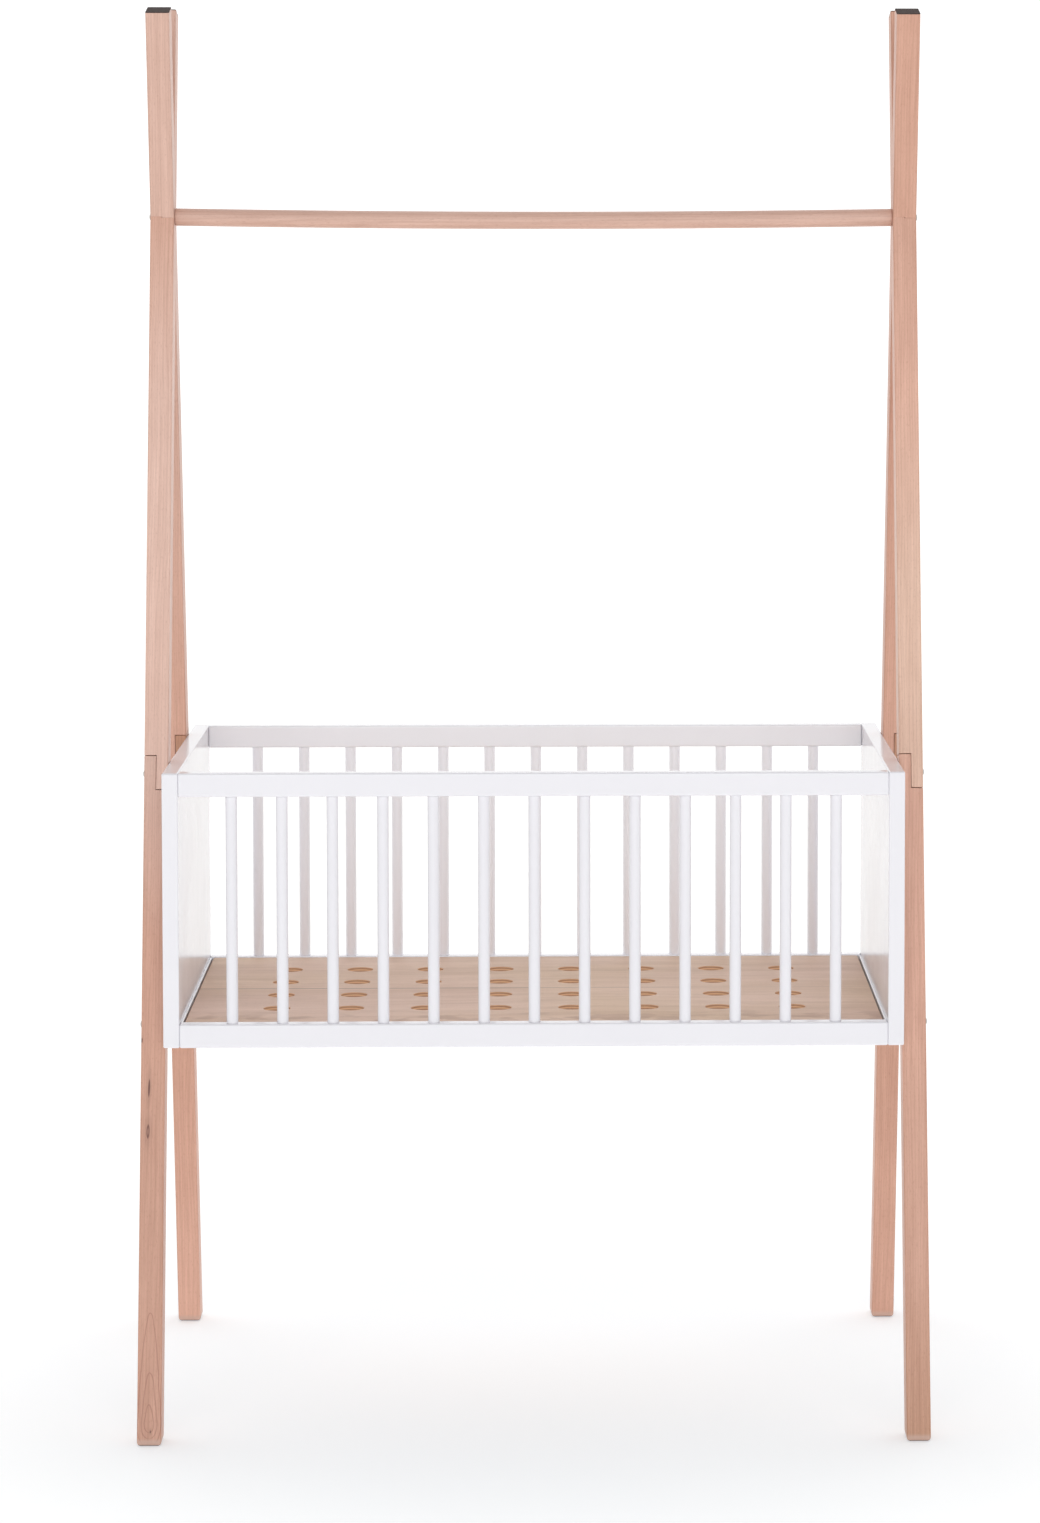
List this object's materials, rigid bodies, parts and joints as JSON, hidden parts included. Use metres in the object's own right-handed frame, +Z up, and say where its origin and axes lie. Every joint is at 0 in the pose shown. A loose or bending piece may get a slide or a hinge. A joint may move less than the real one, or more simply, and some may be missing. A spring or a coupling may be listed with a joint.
{
  "type": "baby cradle",
  "caption": "Standing baby cradle: a white box of spindles and end panels bolted between two wooden A-frames that a round hanging rail joins at the top, with a loose perforated base board.",
  "frame": {"origin": "on the floor, in the middle of the four feet", "axes": "+Z up, +X to the right along the cradle's length, -Y towards the front"},
  "size_m": [1.0144, 0.694, 1.8281],
  "materials": {
    "beech": "clear matt oil on solid beech",
    "beech_plywood": "plain sanded beech plywood",
    "white_lacquer": "satin white lacquer on beech and board",
    "dark_cap": "matt charcoal brown",
    "nickel_steel": "nickel plated, slightly dull"
  },
  "bodies": {
    "stand": {"batten_screws": "nickel_steel", "end_batten_left": "white_lacquer", "end_batten_right": "white_lacquer", "end_panel_left": "white_lacquer", "end_panel_right": "white_lacquer", "hanging_rail": "beech", "hanging_rail_bolts": "nickel_steel", "hanging_rail_inserts": "nickel_steel", "leg_cap_back_left": "dark_cap", "leg_cap_back_right": "dark_cap", "leg_cap_front_left": "dark_cap", "leg_cap_front_right": "dark_cap", "leg_lower_back_left": "beech", "leg_lower_back_right": "beech", "leg_lower_front_left": "beech", "leg_lower_front_right": "beech", "leg_to_panel_bolts": "nickel_steel", "leg_to_panel_inserts": "nickel_steel", "leg_upper_back_left": "beech", "leg_upper_back_right": "beech", "leg_upper_front_left": "beech", "leg_upper_front_right": "beech", "lower_rail_back": "white_lacquer", "lower_rail_front": "white_lacquer", "rail_to_panel_bolts": "nickel_steel", "rail_to_panel_inserts": "nickel_steel", "rail_to_panel_pins": "beech", "side_batten_back": "white_lacquer", "side_batten_front": "white_lacquer", "spindle_back_01": "white_lacquer", "spindle_back_02": "white_lacquer", "spindle_back_03": "white_lacquer", "spindle_back_04": "white_lacquer", "spindle_back_05": "white_lacquer", "spindle_back_06": "white_lacquer", "spindle_back_07": "white_lacquer", "spindle_back_08": "white_lacquer", "spindle_back_09": "white_lacquer", "spindle_back_10": "white_lacquer", "spindle_back_11": "white_lacquer", "spindle_back_12": "white_lacquer", "spindle_back_13": "white_lacquer", "spindle_front_01": "white_lacquer", "spindle_front_02": "white_lacquer", "spindle_front_03": "white_lacquer", "spindle_front_04": "white_lacquer", "spindle_front_05": "white_lacquer", "spindle_front_06": "white_lacquer", "spindle_front_07": "white_lacquer", "spindle_front_08": "white_lacquer", "spindle_front_09": "white_lacquer", "spindle_front_10": "white_lacquer", "spindle_front_11": "white_lacquer", "spindle_front_12": "white_lacquer", "spindle_front_13": "white_lacquer", "top_rail_back": "white_lacquer", "top_rail_front": "white_lacquer"},
    "base_board": {"base_board": "beech_plywood"}
  },
  "joints": [
    {"name": "base_board_lift", "type": "slide", "parent": "stand", "child": "base_board", "axis": [0, 0, 1], "range_m": [0, 0.36]}
  ]
}
